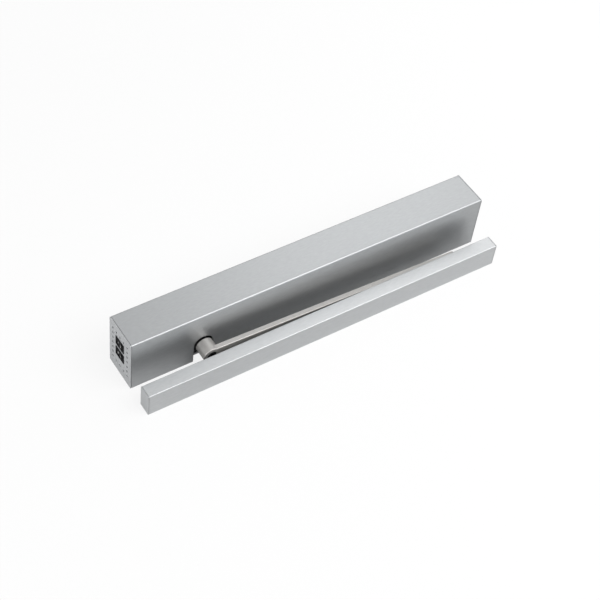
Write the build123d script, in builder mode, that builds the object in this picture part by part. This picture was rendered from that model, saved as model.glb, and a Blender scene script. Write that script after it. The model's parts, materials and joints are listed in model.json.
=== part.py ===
from build123d import *
import math
import os

# Electric swing-door operator with a slide-channel arm, lying on its mounting back.
# X runs along the housing, +Z points out of the wall and -Y is the side where the spindle comes out.
# Sizes are in millimetres. The origin is the middle of the housing's mounting face.

# Clearances
fit_gap = 0.2  # around a piece that slips into another and stays there
run_gap = 0.3  # between pieces that pass each other
shaft_gap = 0.05  # around a turning shaft
press_gap = 0.02  # around a piece that is pressed in or keyed on

# Housing
operator_length = 685.0  # over both end caps
operator_width = 70.0
operator_depth = 107.0  # wall to front face
cover_wall = 2.5
cover_edge_radius = 3.0
cover_inner_radius = 0.8
cap_thickness = 1.6
cap_edge_radius = 0.6
cap_seam = 0.7  # line of shade between the cover and a cap
tongue_depth = 8.0  # rim of a cap that the cover slips over
tongue_wall = 2.0
tongue_foot = 12.0  # height of the rim's lower ends, where the cover's hooks catch
hook_reach = 1.2
hook_height = 2.0

# Spindle and its place in the housing
spindle_from_end = 132.5
spindle_height = 37.5  # above the wall
spindle_diameter = 20.0
spindle_square = 14.0
spindle_square_length = 12.0
spindle_tail = 1.0  # past the retaining ring
ring_thickness = 1.5
notch_radius = 17.5

# Base plate
base_width = 48.0
base_thickness = 4.0
base_tab_height = 22.0
bend_radius = 1.0
wall_hole_diameter = 6.5
wall_hole_from_end = 42.5
wall_hole_pitch_y = 32.0
cable_slot_length = 30.0
cable_slot_width = 16.0
cable_slot_from_end = 65.0

# Screws that hold the end caps to the base plate's turned-up ends
cap_screw_pitch = 28.0
cap_screw_height = 13.0
cap_screw_diameter = 4.0
cap_screw_length = 7.0
cap_screw_head = 11.0
cap_screw_head_height = 3.0
cap_boss_diameter = 8.0
cap_screw_hole_spare = 0.5  # hole past the screw's end

# Vent holes in a rectangular ring round the switches
vent_diameter = 4.2
vent_pitch = 11.8
vent_columns = 5
vent_rows = 7
vent_centre_height = 56.0

# Rocker switches
switch_heights = (74.1, 49.0)
bezel_width = 26.2
bezel_height = 18.8
bezel_thickness = 1.2
bezel_radius = 0.6
switch_wall_y = 1.4
switch_wall_z = 1.8
switch_depth = 22.0
rocker_width = 18.0
rocker_height = 13.2
rocker_tilt = 6.0  # each way from the middle
rocker_side_room = 1.0  # for the swing of the rocker's edges
rocker_pivot_depth = 4.0  # below the bezel's face
rocker_crown = 3.2  # pivot to the bottom of the valley in the rocker's face
trunnion_diameter = 2.8
trunnion_length = 1.2
rocker_shoulder = 1.5
rocker_belly = 3.5  # pivot to the rocker's underside
switch_blade_length = 8.0
switch_blade_thickness = 0.8
switch_blade_count = 3

# Gear frame
frame_gap = 32.0  # between the two plates
frame_plate = 6.0
frame_left = 40.0  # spindle axis to the plates' left edges
frame_right = 24.0
frame_height = 88.0
frame_corner = 6.0
bush_wall = 3.0
bush_flange = 3.0
bush_flange_thickness = 2.0
pillar_diameter = 10.0
pillar_spigot = 6.0
pillar_drop = 8.0  # pillar axis below the plates' top
pillar_inset = 9.0  # pillar axis inside the plates' edges
frame_screw_diameter = 4.0
frame_screw_head = 8.0
frame_screw_inset = 11.0
frame_screw_length = 14.0

# Gearing
gear_module = 1.5
pressure_angle = math.radians(20)
tooth_tip = 0.8 * gear_module
tooth_root = 1.0 * gear_module
backlash = 0.5
main_teeth = 40
drive_teeth = 12
rack_pinion_teeth = 20
rack_teeth_left = 9  # teeth on the left of the spindle
rack_teeth_right = 3
mesh_angle = 40.0  # from +X to the line between spindle and drive pinion
pinion_face = 16.0
pinion_boss = 2.7
pinion_boss_diameter = 26.0
gear_boss = 2.0
gear_face = 8.0
gear_boss_diameter = 30.0
gear_window_diameter = 10.0
gear_window_count = 6
drive_shaft_diameter = 10.0
drive_shaft_length = 17.0
drive_shaft_end_gap = 1.0
drive_pinion_overhang = 1.0  # past the main gear's face
rack_width = 13.0
rack_foot_room = 6.0  # base plate to the rack's underside
rack_end_margin = 2.0  # past the last tooth
guide_cheek = 2.4
guide_below_teeth = 4.0

# Motor and angle gearbox
gearbox_left = 12.0  # drive axis to the gearbox's left side
gearbox_right = 45.0
gearbox_below = 18.6
gearbox_above = 34.0
gearbox_corner = 8.0
motor_diameter = 46.0
motor_length = 100.0
motor_rise = 9.4  # motor axis above the drive axis
motor_collar = 3.0
motor_collar_diameter = 40.0
motor_tail_diameter = 30.0
motor_tail = 7.0
gearbox_screw_diameter = 5.0
gearbox_screw_head = 8.5
gearbox_screw_head_height = 4.0
gearbox_screw_inset = 8.0
gearbox_screw_hole_depth = 10.0
gearbox_screw_end_gap = 1.0
support_sheet = 2.5
support_length = 24.0
support_from_motor_end = 20.0
support_foot = 9.0
support_side_gap = 1.3  # beside the spring

# Closing spring
spring_diameter = 30.0
spring_wire = 5.0
spring_turns = 12
spring_end_turns = 1  # closed turns at each end
spring_end_pitch = 5.8
spring_length = 149.0
spring_height = 22.0  # axis above the wall
spring_start_from_spindle = 69.0
push_plate = 6.0
push_rod_diameter = 11.0
push_rod_length = 57.0
push_rod_chamfer = 1.5
seat_thickness = 6.0
seat_travel = 6.0
seat_reserve = 2.0  # from the seat to the screw's collar
tension_screw_diameter = 10.0
tension_screw_reach = 38.0  # past the seat, inside the spring
tension_head_width = 16.0
tension_head_height = 7.0
tension_collar_diameter = 16.0
tension_collar = 3.0
abutment_plate = 6.0
abutment_height = 44.0
abutment_foot = 24.0
abutment_width = 34.0

# Electronics
board_length = 130.0
board_width = 46.0
board_thickness = 1.6
board_gap = 12.0  # from the abutment's foot
board_height = 12.0  # above the base plate
board_corner_inset = 4.0
standoff_diameter = 6.0
supply_length = 56.0
supply_width = 46.0
supply_height = 62.0
supply_gap = 8.0
mains_terminal_length = 26.0
mains_terminal_width = 28.0
mains_terminal_height = 15.0
mains_terminal_from_end = 50.0
mains_hole_diameter = 4.8
mains_hole_depth = 6.0
supply_corner = 2.0
louvre_width = 3.0
louvre_depth = 2.0
louvre_count = 6
louvre_margin = 6.0  # case edge to a louvre's end
relay_from_end = 30.0  # board's left end to the relays' middle
relay_length = 20.0
relay_width = 12.0
relay_height = 16.0
relay_pitch = 16.0
sink_from_end = 62.0
sink_length = 24.0
sink_width = 30.0
sink_base = 3.0
sink_fin = 1.5
sink_fin_height = 15.0
sink_fin_count = 5
capacitor_from_end = 86.0
capacitor_diameter = 10.0
capacitor_height = 20.0
capacitor_pitch = 12.0
processor_from_end = 104.0
processor_side = 14.0
processor_thickness = 2.0
strip_from_end = 8.0  # board's end to a terminal strip's middle
strip_width = 10.0
strip_length = 28.0
strip_height = 11.0
strip_pole_count = 5
strip_hole_diameter = 3.6
strip_hole_depth = 4.0

# Arm
hub_diameter = 30.0
hub_reach = 28.5  # out of the housing's spindle face
hub_gap = 2.5  # between that face and the hub
hub_edge_radius = 1.0
arm_length = 485.4  # spindle axis to slider pin
arm_thickness = 8.5
arm_root_width = 26.0
arm_tip_width = 19.0
arm_screw_diameter = 8.0
arm_screw_head = 16.0
arm_screw_head_height = 8.0
arm_screw_socket = 6.0
arm_screw_length = 24.0
counterbore_diameter = 17.0
counterbore_depth = 8.7

# Slide rail
rail_length = 687.6  # over its end caps
slider_end_room = 39.0  # slider to the right cap's spigot with the door shut
rail_width = 24.8
rail_height = 45.5
rail_gap = 5.4  # from the hub's end
rail_edge_radius = 1.2
rail_cap_thickness = 1.5
rail_spigot = 7.5  # end cap's reach into the channel
rail_seam = 0.5  # line of shade between the rail and a cap
rail_cover_wall = 2.0
rail_rib = 1.5
track_wall = 2.5
track_web = 2.0
track_height = 37.0
slot_height = 18.5  # slot middle above the door leaf
slot_width = 12.0
channel_width = 20.0
door_hole_diameter = 5.5
door_tool_hole = 10.0
door_hole_from_end = 43.2
door_hole_inner_pitch = 220.0

# Slider and stop in the rail
slider_length = 44.0
slider_thickness = 12.5
slider_end_radius = 3.0
slider_pin_diameter = 10.0
pin_collar_diameter = 16.0
pin_collar_gap = 0.8  # from the rail's slotted face
pin_head_diameter = 14.0
pin_head = 2.0
pin_tail = 3.5  # past the slider
clip_diameter = 16.0
clip_thickness = 1.5
rail_travel = 200.0  # slider to the stop
stop_length = 24.0
stop_screw_diameter = 6.0
bumper_length = 8.0
bumper_margin_y = 1.0
bumper_margin_z = 2.0
bumper_edge_radius = 2.0

# Derived places
half_length = operator_length / 2
half_width = operator_width / 2
cap_inner = half_length - cap_thickness
cover_half = cap_inner - cap_seam
wall_hole_pitch_x = operator_length - 2 * wall_hole_from_end
inner_half_width = half_width - cover_wall
inner_depth = operator_depth - cover_wall
spindle_x = -half_length + spindle_from_end
plate_in = frame_gap / 2
plate_out = plate_in + frame_plate
plate_middle = plate_in + frame_plate / 2
main_radius = gear_module * main_teeth / 2
drive_radius = gear_module * drive_teeth / 2
rack_pinion_radius = gear_module * rack_pinion_teeth / 2
mesh_distance = main_radius + drive_radius
drive_x = spindle_x + mesh_distance * math.cos(math.radians(mesh_angle))
drive_z = spindle_height + mesh_distance * math.sin(math.radians(mesh_angle))
pinion_y = -plate_in + run_gap + pinion_boss
gear_y = pinion_y + pinion_face + gear_boss
gearbox_face_y = pinion_y + pinion_face
gear_boss_end = plate_in - run_gap
gearbox_x0 = drive_x - gearbox_left
gearbox_x1 = drive_x + gearbox_right
gearbox_z0 = drive_z - gearbox_below
gearbox_z1 = drive_z + gearbox_above
motor_y = (gearbox_face_y - plate_in) / 2
motor_z = drive_z + motor_rise
rack_y = pinion_y + pinion_face / 2
rack_pitch_z = spindle_height - rack_pinion_radius
rack_pitch = math.pi * gear_module
rack_bottom = base_thickness + rack_foot_room
rack_x0 = spindle_x - (rack_teeth_left + 0.5) * rack_pitch - rack_end_margin
spring_x0 = spindle_x + spring_start_from_spindle
spring_x1 = spring_x0 + spring_length
abutment_x = spring_x1 + seat_thickness + seat_travel + seat_reserve + tension_collar + run_gap
board_x = abutment_x + abutment_plate + abutment_foot + board_gap
board_z = base_thickness + board_height
supply_x = board_x + board_length + supply_gap
hub_end = -half_width - hub_reach
hub_inner = -half_width - hub_gap
arm_lean = math.asin((spindle_height - slot_height) / arm_length)
pin_x = spindle_x + arm_length * math.cos(arm_lean)
rail_y1 = hub_end - rail_gap
rail_y0 = rail_y1 - rail_width
slider_x1 = pin_x + slider_length / 2
rail_x1 = slider_x1 + slider_end_room + rail_spigot + rail_cap_thickness
rail_x0 = rail_x1 - rail_length
rail_middle = (rail_x0 + rail_x1) / 2
track_y0 = rail_y0 + rail_cover_wall + fit_gap
track_x0 = rail_x0 + rail_cap_thickness + rail_seam
track_length = rail_length - 2 * (rail_cap_thickness + rail_seam)
channel_y0 = track_y0 + track_wall
channel_y1 = rail_y1 - track_wall
slider_y1 = channel_y1 - run_gap
slider_y0 = slider_y1 - slider_thickness
door_hole_y = (channel_y0 + channel_y1) / 2
door_hole_pitches = (rail_length - 2 * door_hole_from_end, door_hole_inner_pitch)
pivot_x = -half_length - bezel_thickness + rocker_pivot_depth
pocket_width = rocker_width + 2 * rocker_side_room
pocket_height = rocker_height + 2 * run_gap
switch_width = pocket_width + 2 * switch_wall_y
switch_height = pocket_height + 2 * switch_wall_z


def plane_x(x):
    """Plane across the length at x: local axes Y and Z, extruding towards +X."""
    return Plane.YZ.offset(x)


def plane_y(y):
    """Plane along the length at y: local axes X and Z, extruding towards -Y."""
    return Plane.XZ.offset(-y)


def plane_z(z):
    """Plane parallel to the wall at z: local axes X and Y, extruding towards +Z."""
    return Plane.XY.offset(z)


def span(low, high):
    """Middle and length of the stretch from low to high."""
    return (low + high) / 2, high - low


def involute(angle):
    return math.tan(angle) - angle


def gear_corners(teeth, tooth_at):
    """Corners of a spur gear round the origin, with one tooth at the angle tooth_at in degrees."""
    pitch_radius = gear_module * teeth / 2
    base_radius = pitch_radius * math.cos(pressure_angle)
    root = pitch_radius - tooth_root
    tip = pitch_radius + tooth_tip
    half_angles = []
    for radius in (root, tip):
        slope = math.acos(min(1.0, base_radius / radius))
        half = math.pi / (2 * teeth) + involute(pressure_angle) - involute(slope)
        half_angles.append(half - backlash / (4 * pitch_radius))
    corners = []
    for tooth in range(teeth):
        middle = math.radians(tooth_at) + 2 * math.pi * tooth / teeth
        at_root, at_tip = half_angles
        for radius, turn in ((root, -at_root), (tip, -at_tip), (tip, at_tip), (root, at_root)):
            corners.append((radius * math.cos(middle + turn), radius * math.sin(middle + turn)))
    return corners


def spur_gear(teeth, tooth_at, x, z, y0, y1):
    """Solid spur gear with its axis along Y at (x, z), between y0 and y1."""
    with BuildPart() as gear:
        with BuildSketch(plane_y(y1)):
            with BuildLine():
                Polyline(*[(x + u, z + w) for u, w in gear_corners(teeth, tooth_at)], close=True)
            make_face()
        extrude(amount=y1 - y0)
    return gear.part


# Base plate: sheet with turned-up ends
with BuildPart() as base_plate:
    with BuildSketch(plane_y(base_width / 2)):
        with BuildLine():
            Polyline(
                (-cap_inner, base_tab_height),
                (-cap_inner, 0),
                (cap_inner, 0),
                (cap_inner, base_tab_height),
                (cap_inner - base_thickness, base_tab_height),
                (cap_inner - base_thickness, base_thickness),
                (-cap_inner + base_thickness, base_thickness),
                (-cap_inner + base_thickness, base_tab_height),
                close=True,
            )
        make_face()
    extrude(amount=base_width)
    bends = base_plate.edges().filter_by(Axis.Y)
    fillet(bends.filter_by_position(Axis.Z, -0.1, 0.1), bend_radius + base_thickness)
    bends = base_plate.edges().filter_by(Axis.Y)
    fillet(bends.filter_by_position(Axis.Z, base_thickness - 0.1, base_thickness + 0.1), bend_radius)
    with GridLocations(wall_hole_pitch_x, wall_hole_pitch_y, 2, 2):
        Hole(wall_hole_diameter / 2)
    with BuildSketch(plane_z(0)):
        with Locations((half_length - cable_slot_from_end, 0)):
            SlotOverall(cable_slot_length, cable_slot_width)
    extrude(amount=base_thickness, mode=Mode.SUBTRACT)
    with BuildSketch(plane_x(-cap_inner)):
        with Locations((0, cap_screw_height)):
            with GridLocations(cap_screw_pitch, 0, 2, 1):
                Circle(cap_boss_diameter / 2 + fit_gap)
    extrude(amount=operator_length, mode=Mode.SUBTRACT)
    frame_screw_places = [
        (x, y)
        for x in (spindle_x - frame_left + frame_screw_inset, spindle_x + frame_right - frame_screw_inset)
        for y in (-plate_middle, plate_middle)
    ]
    with Locations(*[Plane((x, y, 0), z_dir=(0, 0, -1)) for x, y in frame_screw_places]):
        CounterSinkHole(frame_screw_diameter / 2 + fit_gap, frame_screw_head / 2 + fit_gap, counter_sink_angle=90)

# Cover: extruded channel with a rounded front edge, hooks inside and a notch for the hub
with BuildPart() as cover:
    with BuildSketch(plane_x(-cover_half)):
        with Locations((0, operator_depth / 2)):
            Rectangle(operator_width, operator_depth)
        with Locations((0, inner_depth / 2)):
            Rectangle(2 * inner_half_width, inner_depth, mode=Mode.SUBTRACT)
        hook_middle = tongue_foot - fit_gap - hook_height / 2
        for side in (-1, 1):
            with Locations((side * (inner_half_width - hook_reach / 2), hook_middle)):
                Rectangle(hook_reach, hook_height)
    extrude(amount=2 * cover_half)
    long_edges = cover.edges().filter_by(Axis.X)
    fillet(long_edges.filter_by_position(Axis.Z, operator_depth - 0.1, operator_depth + 0.1), cover_edge_radius)
    long_edges = cover.edges().filter_by(Axis.X)
    fillet(long_edges.filter_by_position(Axis.Z, inner_depth - 0.1, inner_depth + 0.1), cover_inner_radius)
    with BuildSketch(plane_y(-half_width)):
        with Locations((spindle_x, spindle_height)):
            Circle(notch_radius)
        with Locations((spindle_x, spindle_height / 2)):
            Rectangle(2 * notch_radius, spindle_height)
    extrude(amount=-(cover_wall + 2 * hook_reach), mode=Mode.SUBTRACT)


def end_cap(side):
    """End cap with the rim for the cover and two screw bosses; side is -1 at the left end."""
    with BuildPart() as cap:
        with BuildSketch(plane_x(side * half_length)) as outline:
            with Locations((0, operator_depth / 2)):
                Rectangle(operator_width, operator_depth)
            fillet(outline.vertices().group_by(Axis.Y)[-1], cover_edge_radius)
        extrude(amount=-side * cap_thickness)
        face_edges = cap.faces().sort_by(Axis.X)[0 if side < 0 else -1].edges()
        fillet(face_edges, cap_edge_radius)
        rim_half = inner_half_width - fit_gap
        rim_top = inner_depth - fit_gap
        with BuildSketch(plane_x(side * cap_inner)):
            with Locations((0, (tongue_foot + rim_top) / 2)):
                Rectangle(2 * rim_half, rim_top - tongue_foot)
            with Locations((0, (tongue_foot + rim_top - tongue_wall) / 2)):
                Rectangle(2 * (rim_half - tongue_wall), rim_top - tongue_wall - tongue_foot, mode=Mode.SUBTRACT)
        extrude(amount=-side * tongue_depth)
        rim_corners = cap.edges().filter_by(Axis.X).filter_by_position(Axis.Z, rim_top - 0.1, rim_top + 0.1)
        fillet(rim_corners, cover_inner_radius + fit_gap)
        with BuildSketch(plane_x(side * cap_inner)):
            with Locations((0, cap_screw_height)):
                with GridLocations(cap_screw_pitch, 0, 2, 1):
                    Circle(cap_boss_diameter / 2)
        extrude(amount=-side * (base_thickness - run_gap))
        with BuildSketch(plane_x(side * (cap_inner - base_thickness))):
            with Locations((0, cap_screw_height)):
                with GridLocations(cap_screw_pitch, 0, 2, 1):
                    Circle(cap_screw_diameter / 2 + press_gap)
        extrude(amount=side * (cap_screw_length - cap_screw_head_height + cap_screw_hole_spare), mode=Mode.SUBTRACT)
    return cap.part


# Left end cap, with openings for the two switches and a ring of vent holes
vent_ring = [
    ((column - (vent_columns - 1) / 2) * vent_pitch, vent_centre_height + (row - (vent_rows - 1) / 2) * vent_pitch)
    for column in range(vent_columns)
    for row in range(vent_rows)
    if column in (0, vent_columns - 1) or row in (0, vent_rows - 1)
]
with BuildPart() as left_end_cap:
    add(end_cap(-1))
    with BuildSketch(plane_x(-half_length)):
        with Locations(*vent_ring):
            Circle(vent_diameter / 2)
        with Locations(*[(0, height) for height in switch_heights]):
            Rectangle(switch_width + 2 * fit_gap, switch_height + 2 * fit_gap)
    extrude(amount=cap_thickness, mode=Mode.SUBTRACT)

# Right end cap, plain
with BuildPart() as right_end_cap:
    add(end_cap(1))

# Cap screws, driven from inside the base plate's turned-up ends
with BuildPart() as cap_screws:
    for side in (-1, 1):
        with BuildSketch(plane_x(side * (cap_inner - base_thickness))):
            with Locations((0, cap_screw_height)):
                with GridLocations(cap_screw_pitch, 0, 2, 1):
                    Circle(cap_screw_head / 2)
        extrude(amount=-side * cap_screw_head_height)
        with BuildSketch(plane_x(side * (cap_inner - base_thickness))):
            with Locations((0, cap_screw_height)):
                with GridLocations(cap_screw_pitch, 0, 2, 1):
                    Circle(cap_screw_diameter / 2)
        extrude(amount=side * (cap_screw_length - cap_screw_head_height))


def switch_body(height):
    """Switch body with its bezel in front of the end cap, at this height above the wall."""
    outer_x = -half_length - bezel_thickness
    with BuildPart() as body:
        with BuildSketch(plane_x(outer_x)):
            with Locations((0, height)):
                Rectangle(bezel_width, bezel_height)
        extrude(amount=bezel_thickness)
        fillet(body.faces().sort_by(Axis.X)[0].edges(), bezel_radius)
        with BuildSketch(plane_x(-half_length)):
            with Locations((0, height)):
                Rectangle(switch_width, switch_height)
        extrude(amount=switch_depth)
        with BuildSketch(plane_x(outer_x)):
            with Locations((0, height)):
                Rectangle(pocket_width, pocket_height)
        extrude(amount=rocker_pivot_depth + rocker_width / 3, mode=Mode.SUBTRACT)
        trunnion_span = rocker_height + 2 * (trunnion_length + run_gap)
        with BuildSketch(plane_z(height - trunnion_span / 2)):
            with Locations((pivot_x, 0)):
                Circle(trunnion_diameter / 2 + shaft_gap)
        extrude(amount=trunnion_span, mode=Mode.SUBTRACT)
        with BuildSketch(plane_x(-half_length + switch_depth)):
            with Locations((0, height)):
                with GridLocations(switch_width / switch_blade_count, 0, switch_blade_count, 1):
                    Rectangle(switch_blade_thickness, switch_height / 3)
        extrude(amount=switch_blade_length)
    return body.part


def switch_rocker(height):
    """Rocker with a shallow valley across its face, pushed in on the side away from the spindle."""
    end_x = pivot_x - rocker_crown - rocker_width / 2 * math.tan(math.radians(rocker_tilt))
    with BuildPart() as rocker:
        with BuildSketch(plane_z(height - rocker_height / 2)):
            with BuildLine():
                Polyline(
                    (pivot_x - rocker_crown, 0),
                    (end_x, rocker_width / 2),
                    (pivot_x + rocker_shoulder, rocker_width / 2 - rocker_shoulder),
                    (pivot_x + rocker_belly, rocker_width / 6),
                    (pivot_x + rocker_belly, -rocker_width / 6),
                    (pivot_x + rocker_shoulder, -rocker_width / 2 + rocker_shoulder),
                    (end_x, -rocker_width / 2),
                    close=True,
                )
            make_face()
        extrude(amount=rocker_height)
        with BuildSketch(plane_z(height - rocker_height / 2 - trunnion_length)):
            with Locations((pivot_x, 0)):
                Circle(trunnion_diameter / 2)
        extrude(amount=rocker_height + 2 * trunnion_length)
    return rocker.part.rotate(Axis((pivot_x, 0, height), (0, 0, 1)), -rocker_tilt)


with BuildPart() as power_switch_body:
    add(switch_body(switch_heights[0]))
with BuildPart() as power_switch_rocker:
    add(switch_rocker(switch_heights[0]))
with BuildPart() as program_switch_body:
    add(switch_body(switch_heights[1]))
with BuildPart() as program_switch_rocker:
    add(switch_rocker(switch_heights[1]))

# Gear frame: two plates on the base plate, the front one with a wing that carries the gearbox
pillar_places = [
    (spindle_x - frame_left + pillar_inset, base_thickness + frame_height - pillar_drop),
    (spindle_x - pillar_inset / 2, base_thickness + frame_height - pillar_drop),
]
gearbox_screw_places = [
    (gearbox_x1 - gearbox_screw_inset, gearbox_z0 + gearbox_screw_inset),
    (gearbox_x1 - gearbox_screw_inset, gearbox_z1 - gearbox_screw_inset),
    (gearbox_x0 + gearbox_screw_inset, gearbox_z1 - gearbox_screw_inset),
]


def frame_plate_outline(wing):
    """Outline of a gear frame plate, with its bush and pillar holes."""
    with BuildSketch() as outline:
        x_middle, x_length = span(spindle_x - frame_left, spindle_x + frame_right)
        with Locations((x_middle, base_thickness + frame_height / 2)):
            Rectangle(x_length, frame_height)
        fillet(outline.vertices().group_by(Axis.Y)[-1], frame_corner)
        if wing:
            x_middle, x_length = span(spindle_x, gearbox_x1)
            z_middle, z_length = span(gearbox_z0, gearbox_z1)
            with Locations((x_middle, z_middle)):
                Rectangle(x_length, z_length)
            with Locations(*gearbox_screw_places):
                Circle(gearbox_screw_diameter / 2 + fit_gap, mode=Mode.SUBTRACT)
        with Locations((spindle_x, spindle_height)):
            Circle(spindle_diameter / 2 + bush_wall + press_gap, mode=Mode.SUBTRACT)
        with Locations(*pillar_places):
            Circle(pillar_spigot / 2 + press_gap, mode=Mode.SUBTRACT)
    return outline.sketch


with BuildPart() as frame_plate_front:
    with BuildSketch(plane_y(-plate_in)):
        add(frame_plate_outline(True))
    extrude(amount=frame_plate)
    with Locations(*[(x, y, base_thickness) for x, y in frame_screw_places if y < 0]):
        Cylinder(
            frame_screw_diameter / 2 + press_gap,
            frame_screw_length,
            align=(Align.CENTER, Align.CENTER, Align.MIN),
            mode=Mode.SUBTRACT,
        )
with BuildPart() as frame_plate_rear:
    with BuildSketch(plane_y(plate_out)):
        add(frame_plate_outline(False))
    extrude(amount=frame_plate)
    with Locations(*[(x, y, base_thickness) for x, y in frame_screw_places if y > 0]):
        Cylinder(
            frame_screw_diameter / 2 + press_gap,
            frame_screw_length,
            align=(Align.CENTER, Align.CENTER, Align.MIN),
            mode=Mode.SUBTRACT,
        )

# Pillars between the plates, riveted at both ends
with BuildPart() as frame_pillars:
    with BuildSketch(plane_y(plate_in)):
        with Locations(*pillar_places):
            Circle(pillar_diameter / 2)
    extrude(amount=frame_gap)
    with BuildSketch(plane_y(plate_out)):
        with Locations(*pillar_places):
            Circle(pillar_spigot / 2)
    extrude(amount=2 * plate_out)

# Countersunk screws from the back of the base plate into the frame plates
with BuildPart() as frame_screws:
    head_depth = (frame_screw_head - frame_screw_diameter) / 2
    for x, y in frame_screw_places:
        with Locations((x, y, fit_gap)):
            Cone(
                frame_screw_head / 2,
                frame_screw_diameter / 2,
                head_depth,
                align=(Align.CENTER, Align.CENTER, Align.MIN),
            )
        with Locations((x, y, fit_gap + head_depth)):
            Cylinder(
                frame_screw_diameter / 2,
                frame_screw_length,
                align=(Align.CENTER, Align.CENTER, Align.MIN),
            )


def spindle_bush(side):
    """Flanged plain bearing in a frame plate; side is -1 at the front."""
    with BuildPart() as bush:
        outer = spindle_diameter / 2 + bush_wall
        with BuildSketch(plane_y(side * plate_in)):
            with Locations((spindle_x, spindle_height)):
                Circle(outer)
        extrude(amount=-side * frame_plate)
        with BuildSketch(plane_y(side * plate_out)):
            with Locations((spindle_x, spindle_height)):
                Circle(outer + bush_flange)
        extrude(amount=-side * bush_flange_thickness)
        with BuildSketch(plane_y(operator_width)):
            with Locations((spindle_x, spindle_height)):
                Circle(spindle_diameter / 2 + shaft_gap)
        extrude(amount=2 * operator_width, mode=Mode.SUBTRACT)
    return bush.part


with BuildPart() as spindle_bush_front:
    add(spindle_bush(-1))
with BuildPart() as spindle_bush_rear:
    add(spindle_bush(1))

# Spindle: round in its bushes, square where it enters the arm's hub, tapped for the arm screw
bush_face = plate_out + bush_flange_thickness
spindle_end = bush_face + run_gap + ring_thickness + spindle_tail
with BuildPart() as spindle:
    with BuildSketch(plane_y(spindle_end)):
        with Locations((spindle_x, spindle_height)):
            Circle(spindle_diameter / 2)
    extrude(amount=spindle_end - hub_inner)
    with BuildSketch(plane_y(hub_inner)):
        with Locations((spindle_x, spindle_height)):
            Rectangle(spindle_square, spindle_square)
    extrude(amount=spindle_square_length)
    with BuildSketch(plane_y(hub_inner - spindle_square_length)):
        with Locations((spindle_x, spindle_height)):
            Circle(arm_screw_diameter / 2 + press_gap)
    extrude(amount=-arm_screw_length, mode=Mode.SUBTRACT)

# Retaining ring at the spindle's rear end
with BuildPart() as spindle_ring:
    with BuildSketch(plane_y(bush_face + run_gap + ring_thickness)):
        with Locations((spindle_x, spindle_height)):
            Circle(spindle_diameter / 2 + bush_wall)
            Circle(spindle_diameter / 2 + press_gap, mode=Mode.SUBTRACT)
    extrude(amount=ring_thickness)

# Main gear on the spindle, driven by the motor, with windows in its web
with BuildPart() as main_gear:
    add(spur_gear(main_teeth, mesh_angle, spindle_x, spindle_height, gear_y, gear_y + gear_face))
    with BuildSketch(plane_y(gear_boss_end)):
        with Locations((spindle_x, spindle_height)):
            Circle(gear_boss_diameter / 2)
    extrude(amount=gear_boss_end - gear_y + gear_boss)
    with BuildSketch(plane_y(gear_boss_end)):
        with Locations((spindle_x, spindle_height)):
            Circle(spindle_diameter / 2 + press_gap)
            window_radius = (gear_boss_diameter / 2 + main_radius - tooth_root) / 2
            with PolarLocations(window_radius, gear_window_count):
                Circle(gear_window_diameter / 2)
    extrude(amount=frame_gap, mode=Mode.SUBTRACT)

# Rack pinion on the spindle, with a tooth gap facing the rack's middle tooth
with BuildPart() as rack_pinion:
    tooth_gap_down = -90 + 180 / rack_pinion_teeth
    add(spur_gear(rack_pinion_teeth, tooth_gap_down, spindle_x, spindle_height, pinion_y, pinion_y + pinion_face))
    with BuildSketch(plane_y(pinion_y)):
        with Locations((spindle_x, spindle_height)):
            Circle(pinion_boss_diameter / 2)
    extrude(amount=pinion_boss)
    with BuildSketch(plane_y(pinion_y + pinion_face)):
        with Locations((spindle_x, spindle_height)):
            Circle(spindle_diameter / 2 + press_gap)
    extrude(amount=frame_gap, mode=Mode.SUBTRACT)

# Angle gearbox: closed casting bolted to the front plate's wing
with BuildPart() as gearbox:
    with BuildSketch(plane_y(gearbox_face_y)) as outline:
        x_middle, x_length = span(gearbox_x0, gearbox_x1)
        z_middle, z_length = span(gearbox_z0, gearbox_z1)
        with Locations((x_middle, z_middle)):
            Rectangle(x_length, z_length)
        fillet(outline.vertices(), gearbox_corner)
    extrude(amount=gearbox_face_y + plate_in)
    with BuildSketch(plane_y(gearbox_face_y)):
        with Locations((drive_x, drive_z)):
            Circle(drive_shaft_diameter / 2 + shaft_gap)
    extrude(amount=drive_shaft_length, mode=Mode.SUBTRACT)
    with BuildSketch(plane_y(-plate_in)):
        with Locations(*gearbox_screw_places):
            Circle(gearbox_screw_diameter / 2 + press_gap)
    extrude(amount=-gearbox_screw_hole_depth, mode=Mode.SUBTRACT)

# Gearbox screws through the front plate
with BuildPart() as gearbox_screws:
    with BuildSketch(plane_y(-plate_out)):
        with Locations(*gearbox_screw_places):
            Circle(gearbox_screw_head / 2)
    extrude(amount=gearbox_screw_head_height)
    with BuildSketch(plane_y(-plate_out)):
        with Locations(*gearbox_screw_places):
            Circle(gearbox_screw_diameter / 2)
    extrude(amount=-(frame_plate + gearbox_screw_hole_depth - gearbox_screw_end_gap))

# Motor: can with a collar at the gearbox and a bearing cap at its tail
with BuildPart() as motor:
    with BuildSketch(Plane.XZ.offset(-motor_y)):
        with BuildLine():
            Polyline(
                (gearbox_x1, motor_z),
                (gearbox_x1, motor_z + motor_collar_diameter / 2),
                (gearbox_x1 + motor_collar, motor_z + motor_collar_diameter / 2),
                (gearbox_x1 + motor_collar, motor_z + motor_diameter / 2),
                (gearbox_x1 + motor_length, motor_z + motor_diameter / 2),
                (gearbox_x1 + motor_length, motor_z + motor_tail_diameter / 2),
                (gearbox_x1 + motor_length + motor_tail, motor_z + motor_tail_diameter / 2),
                (gearbox_x1 + motor_length + motor_tail, motor_z),
                close=True,
            )
        make_face()
    revolve(axis=Axis((gearbox_x1, motor_y, motor_z), (1, 0, 0)))

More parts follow.
